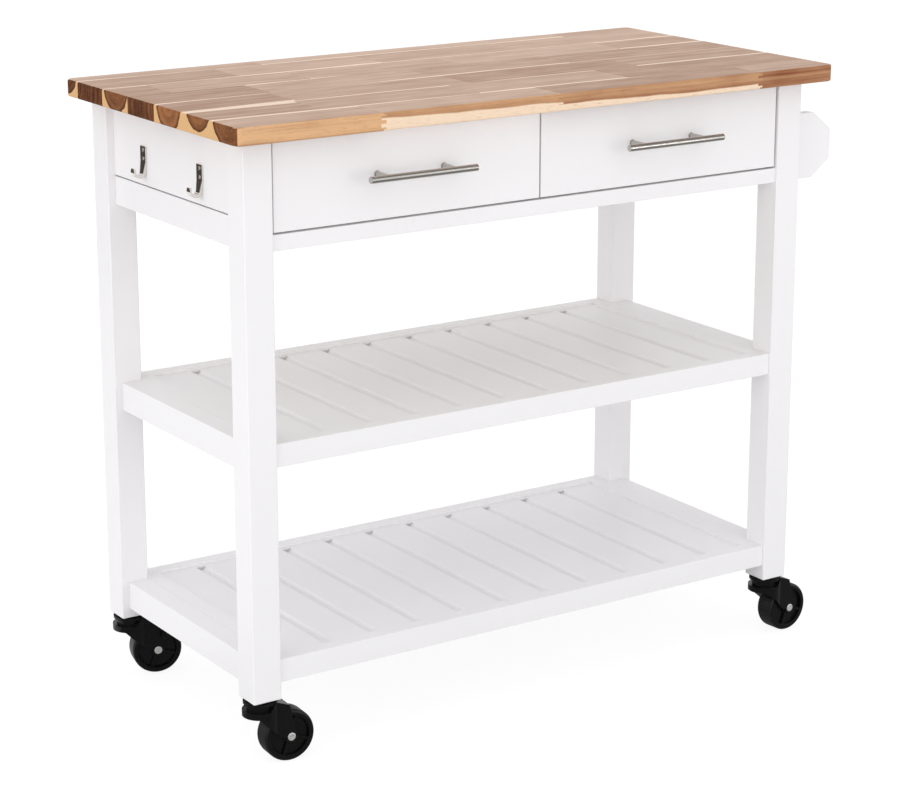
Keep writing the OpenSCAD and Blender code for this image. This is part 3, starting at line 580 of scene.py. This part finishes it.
@cache
def black_nylon():
    """Injection-moulded black nylon of the forks and wheels."""
    # A deep black with a satin skin that shines along the rounded edges
    material, tree = new_material("moulded black nylon")
    nylon = settings().casters.nylon
    place = add(tree, "TexCoord")["Object"]
    cloud = add(tree, "TexNoise", {"Vector": place, "Scale": 1 / (17 * MM), "Detail": 3.0})["Fac"]
    colour = add(tree, "Mix", {FAC: cloud, MIX_A: rgba(nylon, 0.7), MIX_B: rgba(nylon, 1.3)},
                 data_type="RGBA")[MIXED]
    rough = add(tree, "Math", {0: cloud, 1: 0.12, 2: 0.20}, operation="MULTIPLY_ADD")[0]
    # The mould's spark-eroded skin: grit of about 0.8 mm, drawn coarser than the real one
    grit = add(tree, "TexNoise", {"Vector": place, "Scale": 1 / (0.8 * MM), "Detail": 2.0})["Fac"]
    bump = add(tree, "Bump", {"Height": grit, "Strength": 0.08, "Distance": 0.05 * MM})["Normal"]
    skin = add(tree, "BsdfPrincipled", {"Base Color": colour, "Roughness": rough,
                                        "Specular IOR Level": 0.25, "Normal": bump})
    add(tree, "OutputMaterial", {"Surface": skin["BSDF"]})
    return material


@cache
def black_tread():
    """Thermoplastic rubber of the wheels' treads."""
    # Softer than the nylon, so it is duller, with a dusting of grey from the floor
    material, tree = new_material("thermoplastic rubber tread")
    tread = settings().casters.tread
    place = add(tree, "TexCoord")["Object"]
    dust = add(tree, "TexNoise", {"Vector": place, "Scale": 1 / (14 * MM), "Detail": 4.0})["Fac"]
    colour = add(tree, "Mix", {FAC: dust, MIX_A: rgba(tread, 0.7), MIX_B: rgba(tread, 1.6)},
                 data_type="RGBA")[MIXED]
    rough = add(tree, "Math", {0: dust, 1: 0.2, 2: 0.34}, operation="MULTIPLY_ADD")[0]
    skin = add(tree, "BsdfPrincipled", {"Base Color": colour, "Roughness": rough,
                                        "Specular IOR Level": 0.3})
    add(tree, "OutputMaterial", {"Surface": skin["BSDF"]})
    return material


# ---------------------------------------------------------------- operators

class CART_OT_worktop(bpy.types.Operator):
    """Lays the acacia worktop out of staves"""
    bl_idname = "island_cart.worktop"
    bl_label = "Worktop"

    # The fingers that join two staves show on the long edges
    finger_length = 4 * MM
    finger_width = 5 * MM
    # A face is in a row if its middle lies in it, or this close to it
    slack = 0.1 * MM
    luck_seed = 7

    def execute(self, context):
        shape = self.slab()
        rows = self.cut_staves(shape)
        self.mark_logs(shape, rows)
        smooth(shape, 40)
        finish_piece("worktop_staves", shape, [acacia_face(), acacia_end(), acacia_edge()],
                     "cabinet", "worktop")
        return {"FINISHED"}

    @staticmethod
    def slab():
        """The whole slab, with round corners and softened edges."""
        arris = settings().worktop.arris
        shape = bmesh.new()
        verts = add_block(shape, *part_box("worktop"))
        upright = [e for e in edges_of(verts) if abs((e.verts[0].co - e.verts[1].co).z) > arris]
        round_edges(shape, upright, settings().worktop.corner, 8)
        rim = [e for e in shape.edges if abs((e.verts[0].co - e.verts[1].co).z) < arris]
        round_edges(shape, rim, arris, 3)
        return shape

    def cut_staves(self, shape):
        """Cuts the slab along its rows and where their staves meet. Returns the rows."""
        low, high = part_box("worktop")
        middle = (low.x + high.x) / 2
        back = high.y
        rows = []
        for width, staves in STAVE_ROWS:
            front = max(back - width * MM, low.y)
            rows.append((front, back, staves))
            self.cut(shape, shape.faces, (0, front, 0), (0, 1, 0))
            back = front
        for front, back, staves in rows:
            for stave in staves[:-1]:
                joint = middle + stave.end
                self.cut(shape, self.row_faces(shape, front, back), (joint, 0, 0), (1, 0, 0))
                self.cut_fingers(shape, front, back, joint)
        return rows

    def mark_logs(self, shape, rows):
        """Tells each face its stave's log: the heartwood's radius, the pith's place, the shade."""
        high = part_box("worktop")[1]
        log = shape.loops.layers.float_color.new("log")
        tone = shape.loops.layers.float_color.new("tone")
        luck = random.Random(self.luck_seed)
        seeds = {stave: luck.random() for _, _, staves in rows for stave in staves}
        for face in shape.faces:
            steepest = max(range(3), key=lambda axis: abs(face.normal[axis]))
            face.material_index = (END, EDGE, FACE)[steepest]
            centre = face.calc_center_median()
            front, back, staves = next(
                (row for row in rows if centre.y > row[0] - self.slack), rows[-1])
            stave = self.stave_at(staves, centre, face.material_index)
            heart_back, heart_front = back - stave.sap_back, front + stave.sap_front
            radius = math.hypot((heart_back - heart_front) / 2, stave.pith)
            pith_y, pith_z = (heart_back + heart_front) / 2, high.z + stave.pith
            for loop in face.loops:
                loop[log] = (radius, pith_y + LOG_SHIFT, pith_z, 1.0)
                loop[tone] = (stave.shades[face.material_index], seeds[stave], 0.0, 1.0)

    def stave_at(self, staves, centre, surface):
        """The stave of a row at a face's centre. On the long edges, fingers pass the joints."""
        low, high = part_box("worktop")
        x = centre.x - (low.x + high.x) / 2
        joint = min((stave.end for stave in staves[:-1]), key=lambda end: abs(x - end))
        if surface == EDGE and abs(x - joint) < self.finger_length:
            up = int((centre.z - low.z) / self.finger_width) % 2
            x = joint + (1 if up else -1) * self.finger_length
        return next((stave for stave in staves if x < stave.end), staves[-1])

    def row_faces(self, shape, front, back):
        """The faces of one row, its long edge included."""
        return [f for f in shape.faces
                if front - self.slack < f.calc_center_median().y < back + self.slack]

    def edge_faces(self, shape, front, back):
        """The row's faces on a long edge of the worktop."""
        return [f for f in self.row_faces(shape, front, back) if abs(f.normal.y) > 0.99]

    def cut_fingers(self, shape, front, back, joint):
        """Cuts a joint's interlocking fingers into the worktop's long edge."""
        for side in (-1, 1):
            self.cut(shape, self.edge_faces(shape, front, back),
                     (joint + side * self.finger_length, 0, 0), (1, 0, 0))
        low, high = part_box("worktop")
        z = low.z + self.finger_width
        while z < high.z:
            faces = [f for f in self.edge_faces(shape, front, back)
                     if abs(f.calc_center_median().x - joint) < self.finger_length]
            self.cut(shape, faces, (0, 0, z), (0, 0, 1))
            z += self.finger_width

    @staticmethod
    def cut(shape, faces, point, normal):
        """Cuts the faces along a plane, and leaves the slab whole."""
        faces = list(faces)
        parts = {v for f in faces for v in f.verts} | {e for f in faces for e in f.edges}
        bmesh.ops.bisect_plane(shape, geom=faces + list(parts), plane_co=point, plane_no=normal)


class CART_OT_legs(bpy.types.Operator):
    """Stands the four lacquered legs"""
    bl_idname = "island_cart.legs"
    bl_label = "Legs"

    def execute(self, context):
        for corner in CORNERS:
            board(corner + "_leg_lacquered", corner + "_leg", settings().paint.leg_arris, 3)
        return {"FINISHED"}


class CART_OT_boards(bpy.types.Operator):
    """Fits the lacquered rails, panels, shelves and divider"""
    bl_idname = "island_cart.boards"
    bl_label = "Rails and panels"

    def execute(self, context):
        arris = settings().paint.arris
        for node in CABINET_BOARDS:
            board(node + "_lacquered", node, arris)
        for node in ("worktop_battens", "middle_stiles", "lower_stiles"):
            softened(node + "_lacquered", node, white_lacquer(), "cabinet", arris)
        for node in ("middle_panel", "lower_panel"):
            softened(node + "_lacquered", node, white_lacquer(), "cabinet",
                     settings().paint.groove_arris, 2, 35, rim=False)
        return {"FINISHED"}


class CART_OT_drawers(bpy.types.Operator):
    """Builds both drawers: lacquered fronts and poplar boxes on zinc slides"""
    bl_idname = "island_cart.drawers"
    bl_label = "Drawers"

    box_arris = 0.6 * MM

    def execute(self, context):
        for side in SIDES:
            body = side + "_drawer"
            softened(body + "_front_lacquered", body + "_front", white_lacquer(), body,
                     settings().paint.arris)
            for part in ("sides", "back", "bottom"):
                softened(f"{body}_{part}_poplar", f"{body}_{part}", clear_poplar(), body,
                         self.box_arris)
            paint_node(body + "_runners", zinc_plate())
        paint_node("drawer_channels", zinc_plate())
        return {"FINISHED"}


class CART_OT_pulls(bpy.types.Operator):
    """Makes the brushed steel bar pulls and their screws"""
    bl_idname = "island_cart.pulls"
    bl_label = "Drawer pulls"

    post_radius = 4 * MM
    bar_arris = 0.6 * MM
    # Each post stands on a foot, a little wider than the post
    foot_radius = 4.8 * MM
    foot_height = 1.5 * MM
    foot_arris = 0.4 * MM

    def execute(self, context):
        for side in SIDES:
            body = side + "_drawer"
            low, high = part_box(body + "_pull")
            screws_low, screws_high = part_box(side + "_pull_screws")
            radius = (high.z - low.z) / 2
            bar_y, bar_z = low.y + radius, (low.z + high.z) / 2
            shape = bmesh.new()
            bar = add_rod(shape, (low.x, bar_y, bar_z), (high.x, bar_y, bar_z), radius)
            round_edges(shape, end_edges(bar), self.bar_arris, 3)
            for x in (screws_low.x + self.post_radius, screws_high.x - self.post_radius):
                add_rod(shape, (x, bar_y, bar_z), (x, high.y, bar_z), self.post_radius, 32)
                foot = add_rod(shape, (x, high.y - self.foot_height, bar_z), (x, high.y, bar_z),
                               self.foot_radius, 32)
                round_edges(shape, end_edges(foot), self.foot_arris, 2)
            smooth(shape, 40)
            finish_piece(body + "_bar_pull", shape, [brushed_steel()], body, body + "_pull")
            paint_node(side + "_pull_screws", zinc_plate())
        return {"FINISHED"}


class CART_OT_hooks(bpy.types.Operator):
    """Casts the two nickel hooks and sets their screws"""
    bl_idname = "island_cart.hooks"
    bl_label = "Hooks"

    screw_edge = 0.5 * MM

    def execute(self, context):
        edge = settings().fittings.hook_edge
        for end in ("front", "back"):
            softened(end + "_hook_nickel", end + "_hook", polished_nickel(), "cabinet", edge,
                     3, 30)
        softened("hook_screws_nickel", "hook_screws", polished_nickel(), "cabinet",
                 self.screw_edge)
        return {"FINISHED"}


class CART_OT_towel_bar(bpy.types.Operator):
    """Fits the lacquered towel bar between its two brackets"""
    bl_idname = "island_cart.towel_bar"
    bl_label = "Towel bar"

    bracket_arris = 1.6 * MM
    bar_arris = 1 * MM

    def execute(self, context):
        for end in ("front", "back"):
            softened(end + "_bracket_lacquered", end + "_towel_bracket", white_lacquer(),
                     "cabinet", self.bracket_arris, 3, 20)
        low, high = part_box("towel_bar")
        x, z, radius = (low.x + high.x) / 2, (low.z + high.z) / 2, (high.x - low.x) / 2
        shape = bmesh.new()
        bar = add_rod(shape, (x, low.y, z), (x, high.y, z), radius, 64)
        round_edges(shape, end_edges(bar), self.bar_arris, 2)
        smooth(shape, 40)
        finish_piece("towel_bar_lacquered", shape, [white_lacquer()], "cabinet", "towel_bar")
        paint_node("towel_bracket_screws", zinc_plate())
        return {"FINISHED"}


class CART_OT_casters(bpy.types.Operator):
    """Makes the four black swivel casters"""
    bl_idname = "island_cart.casters"
    bl_label = "Casters"

    # Radii of a wheel's hub, of the recess round it and of the tread's rounded shoulders
    hub = 10 * MM
    recess = 29 * MM
    shoulder = 5 * MM
    recess_depth = 5 * MM
    # The spokes across the recess: half a spoke's width, and the first one's angle in degrees
    spokes = 4
    spoke_half = 2 * MM
    spoke_turn = 20

    def execute(self, context):
        paint_node("caster_sockets", zinc_plate())
        spins = {joint["child"]: joint for joint in frame["joints"]}
        for corner in CORNERS:
            softened(corner + "_fork_moulded", corner + "_fork", black_nylon(),
                     corner + "_swivel", settings().casters.fork_edge, 3, 25)
            spin = spins[corner + "_roller"]
            self.fit(corner + "_wheel", corner + "_roller", spin, self.wheel,
                     [black_nylon(), black_tread()], "black_plastic")
            self.fit(corner + "_axle", corner + "_swivel", spin, self.rivet,
                     [bright_rivet()], "polished_steel")
        return {"FINISHED"}

    @staticmethod
    def fit(node, body, spin, make, materials, slot):
        """Puts a turned piece on the axis of its wheel's joint, as large as the CAD node."""
        centre, axis = Vector(spin["pos_m"]), Vector(spin["axis"])
        low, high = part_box(node)
        half = max(abs((v.co - centre).dot(axis)) for v in nodes[node].data.vertices)
        shape = make((high.z - low.z) / 2, half)
        turn = Matrix.Rotation(math.atan2(-axis.x, axis.y), 4, "Z")
        bmesh.ops.transform(shape, matrix=Matrix.Translation(centre) @ turn, verts=shape.verts)
        smooth(shape, 38)
        finish_piece(node + "_finished", shape, materials, body, node)

    @staticmethod
    def turned(side, segments, closed):
        """A shape turned about Y from one half of its outline, as (radius, offset) points."""
        shape = bmesh.new()
        outline = side + [(r, -y) for r, y in reversed(side)]
        verts = [shape.verts.new((r, y, 0)) for r, y in outline]
        pairs = list(zip(verts, verts[1:])) + ([(verts[-1], verts[0])] if closed else [])
        edges = [shape.edges.new(pair) for pair in pairs]
        bmesh.ops.spin(shape, geom=verts + edges, cent=(0, 0, 0), axis=(0, 1, 0),
                       angle=2 * math.pi, steps=segments, use_merge=True, use_duplicate=False)
        bmesh.ops.remove_doubles(shape, verts=shape.verts, dist=TOUCH)
        bmesh.ops.recalc_face_normals(shape, faces=shape.faces)
        return shape

    def wheel(self, radius, half):
        """A wheel: round-shouldered tread, recessed faces, hub and spokes."""
        bore, floor, steps = 4.2 * MM, half - self.recess_depth, 6
        side = [(bore, half), (self.hub - 0.6 * MM, half), (self.hub, half - 0.6 * MM),
                (self.hub + 0.5 * MM, floor), (self.recess - 1 * MM, floor),
                (self.recess, half - 0.8 * MM), (self.recess + 0.8 * MM, half)]
        for i in range(steps + 1):
            turn = math.radians(90 * i / steps)
            side.append((radius - self.shoulder + self.shoulder * math.sin(turn),
                         half - self.shoulder + self.shoulder * math.cos(turn)))
        shape = self.turned(side, 96, True)
        for face in shape.faces:
            out = face.calc_center_median()
            if math.hypot(out.x, out.z) > radius - 0.6 * self.shoulder:
                face.material_index = 1
        below_rim = half - 1.6 * MM
        for i in range(self.spokes):
            spoke = add_block(
                shape, (self.hub - 0.5 * MM, -below_rim, -self.spoke_half),
                (self.recess + 0.3 * MM, below_rim, self.spoke_half),
                Matrix.Rotation(math.radians(360 * i / self.spokes + self.spoke_turn), 4, "Y"))
            round_edges(shape, edges_of(spoke), 0.5 * MM, 2)
        return shape

    def rivet(self, radius, half):
        """An axle with a rolled rivet head at each end, and a groove round the head's middle."""
        cap, shank, groove_floor = half - 1 * MM, 4 * MM, half - 1.5 * MM
        side = [(0, half - 0.3 * MM), (1.5 * MM, half - 0.4 * MM), (1.9 * MM, groove_floor),
                (2.7 * MM, groove_floor), (3.1 * MM, half - 0.1 * MM), (3.5 * MM, half),
                (radius - 1.2 * MM, half - 0.1 * MM), (radius - 0.3 * MM, half - 0.4 * MM),
                (radius, half - 0.8 * MM), (radius, cap), (shank, cap)]
        return self.turned(side, 48, False)


class CART_OT_stage(bpy.types.Operator):
    """Sets the floor, the light and the camera"""
    bl_idname = "island_cart.stage"
    bl_label = "Floor, light and camera"

    # What the floor gives back to the cart, and what the camera sees of it: an even white, with
    # a sixth of the light and shadow that fall on it
    floor_bounce = 0.72
    floor_shadow = 0.17
    floor_glow = 0.89
    # The room's light at its brightest, on the cart's left, and at its dimmest
    room_bright = 1.11
    room_dim = 0.76
    # A long lens at eye height, looking at the cart's left front corner and down on its worktop
    lens = 101.7
    eye = (-2.077, -3.081, 1.463)
    turn = math.radians(33.55)
    dip = math.radians(14.87)

    def execute(self, context):
        scene = context.scene
        scene.view_settings.view_transform = "Standard"
        self.floor()
        self.cards()
        self.world(scene)
        self.lamps()
        self.camera(scene)
        return {"FINISHED"}

    @staticmethod
    def seen_or_mirrored(tree):
        """1 where the camera, or a ray that is mirrored or passed through, meets the stage."""
        path = add(tree, "LightPath")
        seen = add(tree, "Math", {0: path["Is Camera Ray"], 1: path["Is Glossy Ray"]},
                   operation="MAXIMUM")[0]
        return add(tree, "Math", {0: seen, 1: path["Is Transmission Ray"]}, operation="MAXIMUM")[0]

    @staticmethod
    def sheet(name, material, place, size):
        """A flat sheet of the stage. place puts its middle and turns it."""
        shape = bmesh.new()
        bmesh.ops.create_grid(shape, x_segments=1, y_segments=1, size=0.5,
                              matrix=place @ Matrix.Diagonal((*size, 1.0, 1.0)))
        mesh = bpy.data.meshes.new(name)
        shape.to_mesh(mesh)
        shape.free()
        mesh.materials.append(material)
        sheet = bpy.data.objects.new(name, mesh)
        bpy.context.scene.collection.objects.link(sheet)
        return sheet

    def floor(self):
        """A wide white floor that keeps the cart's soft shadow and melts into the background."""
        material, tree = new_material("white studio floor")
        white = settings().stage.background
        matt = add(tree, "BsdfDiffuse", {"Color": rgba(white, self.floor_bounce)})["BSDF"]
        shadow = add(tree, "BsdfDiffuse", {"Color": rgba(white, self.floor_shadow)})["BSDF"]
        glow = add(tree, "Emission", {"Strength": self.floor_glow})["Emission"]
        seen = add(tree, "AddShader", {0: shadow, 1: glow})["Shader"]
        both = add(tree, "MixShader", {0: self.seen_or_mirrored(tree), 1: matt, 2: seen})["Shader"]
        add(tree, "OutputMaterial", {"Surface": both})
        self.sheet("floor", material, Matrix.Identity(4), (60.0, 60.0))

    def cards(self):
        """Grey cards that only shiny surfaces mirror, to draw the metal's and nylon's shapes."""
        upright = Matrix.Rotation(math.radians(90), 4, "X")
        flat = Matrix.Identity(4)
        for name, grey, middle, turn, size in (
                ("near_floor_card", (0.28, 0.28, 0.28), (0.0, -0.45, 0.002), flat, (2.6, 1.3)),
                ("far_floor_card", (0.36, 0.355, 0.35), (0.0, -2.0, 0.002), flat, (4.0, 1.8)),
                ("pull_card", (0.26, 0.26, 0.26), (0.0, -0.37, 1.0), flat, (1.6, 0.2)),
                ("back_card", (0.08, 0.068, 0.062), (-1.9, 2.4, 0.8), upright, (1.7, 2.0))):
            material, tree = new_material(name + " paper")
            glow = add(tree, "Emission", {"Color": rgba(grey), "Strength": 1.0})["Emission"]
            add(tree, "OutputMaterial", {"Surface": glow})
            sheet = self.sheet(name, material, Matrix.Translation(middle) @ turn, size)
            sheet.visible_camera = False
            sheet.visible_diffuse = False
            sheet.visible_shadow = False
            sheet.visible_transmission = False

    def world(self, scene):
        """Even light all around, and a white background behind the cart."""
        stage = settings().stage
        world = bpy.data.worlds.new("white studio")
        scene.world = world
        world.use_nodes = True
        tree = world.node_tree
        tree.nodes.clear()
        # The light fades from the left front to the right back, so that grooves and edges show
        toward = add(tree, "TexCoord")["Generated"]
        toward = add(tree, "VectorMath", {0: toward, 1: (0.92, 0.4, 0.0)},
                     operation="DOT_PRODUCT")["Value"]
        strength = add(tree, "MapRange", {
            "Value": toward, "From Min": -0.7, "From Max": 0.7,
            "To Min": stage.room * self.room_bright, "To Max": stage.room * self.room_dim,
        }, interpolation_type="SMOOTHSTEP")["Result"]
        room = add(tree, "Background", {"Color": (0.985, 0.99, 1.0, 1.0), "Strength": strength})
        white = add(tree, "Background", {"Color": rgba(stage.background), "Strength": 1.0})
        both = add(tree, "MixShader", {0: self.seen_or_mirrored(tree), 1: room["Background"],
                                       2: white["Background"]})["Shader"]
        add(tree, "OutputWorld", {"Surface": both})

    @staticmethod
    def lamps():
        """A large low lamp at the left, another in front, and small ones for the glints."""
        stage = settings().stage
        for name, place, size, power in (
                ("key_lamp", (-3.5, -1.2, 0.7), 2.0, stage.key),
                ("fill_lamp", (0.9, -3.8, 0.9), 2.4, stage.key * 1.05),
                ("left_glint", (-2.6, -2.4, 0.9), 0.12, stage.glint),
                ("right_glint", (1.8, -2.6, 1.0), 0.12, stage.glint)):
            data = bpy.data.lights.new(name, "AREA")
            data.shape = "DISK"
            data.size = size
            data.energy = power
            lamp = bpy.data.objects.new(name, data)
            lamp.location = place
            aim = Vector((0, 0, 0.4)) - lamp.location
            lamp.rotation_euler = aim.to_track_quat("-Z", "Y").to_euler()
            # The small lamps only draw highlights, with no hard shadows; the large ones draw none
            lamp.visible_diffuse = data.use_shadow = "glint" not in name
            lamp.visible_glossy = "glint" in name
            bpy.context.scene.collection.objects.link(lamp)

    def camera(self, scene):
        """The camera that looks at the whole cart."""
        data = bpy.data.cameras.new("camera")
        data.sensor_width = 36.0
        data.lens = self.lens
        data.shift_y = -0.05
        data.clip_end = 100.0
        camera = bpy.data.objects.new("camera", data)
        camera.location = self.eye
        aim = Vector((math.sin(self.turn) * math.cos(self.dip),
                      math.cos(self.turn) * math.cos(self.dip), -math.sin(self.dip)))
        camera.rotation_euler = aim.to_track_quat("-Z", "Y").to_euler()
        scene.collection.objects.link(camera)
        scene.camera = camera


# ---------------------------------------------------------------- panel and registration

class IslandCartSettings(bpy.types.PropertyGroup):
    """All the settings of the cart"""
    worktop: PointerProperty(type=WorktopSettings)
    paint: PointerProperty(type=PaintSettings)
    fittings: PointerProperty(type=FittingSettings)
    casters: PointerProperty(type=CasterSettings)
    stage: PointerProperty(type=StageSettings)


OPERATORS = (
    CART_OT_worktop, CART_OT_legs, CART_OT_boards, CART_OT_drawers, CART_OT_pulls,
    CART_OT_hooks, CART_OT_towel_bar, CART_OT_casters, CART_OT_stage,
)


class CART_PT_panel(bpy.types.Panel):
    """The steps that dress the cart"""
    bl_idname = "CART_PT_panel"
    bl_label = "Island Cart"
    bl_space_type = "VIEW_3D"
    bl_region_type = "UI"
    bl_category = "Island Cart"

    def draw(self, context):
        for operator in OPERATORS:
            self.layout.operator(operator.bl_idname)


CLASSES = (
    WorktopSettings, PaintSettings, FittingSettings, CasterSettings, StageSettings,
    IslandCartSettings, *OPERATORS, CART_PT_panel,
)


def register():
    for item in CLASSES:
        bpy.utils.register_class(item)
    bpy.types.Scene.island_cart = PointerProperty(type=IslandCartSettings)


def unregister():
    del bpy.types.Scene.island_cart
    for item in reversed(CLASSES):
        bpy.utils.unregister_class(item)


def main():
    register()
    bpy.ops.island_cart.worktop()
    bpy.ops.island_cart.legs()
    bpy.ops.island_cart.boards()
    bpy.ops.island_cart.drawers()
    bpy.ops.island_cart.pulls()
    bpy.ops.island_cart.hooks()
    bpy.ops.island_cart.towel_bar()
    bpy.ops.island_cart.casters()
    bpy.ops.island_cart.stage()


if __name__ == "__main__":
    main()
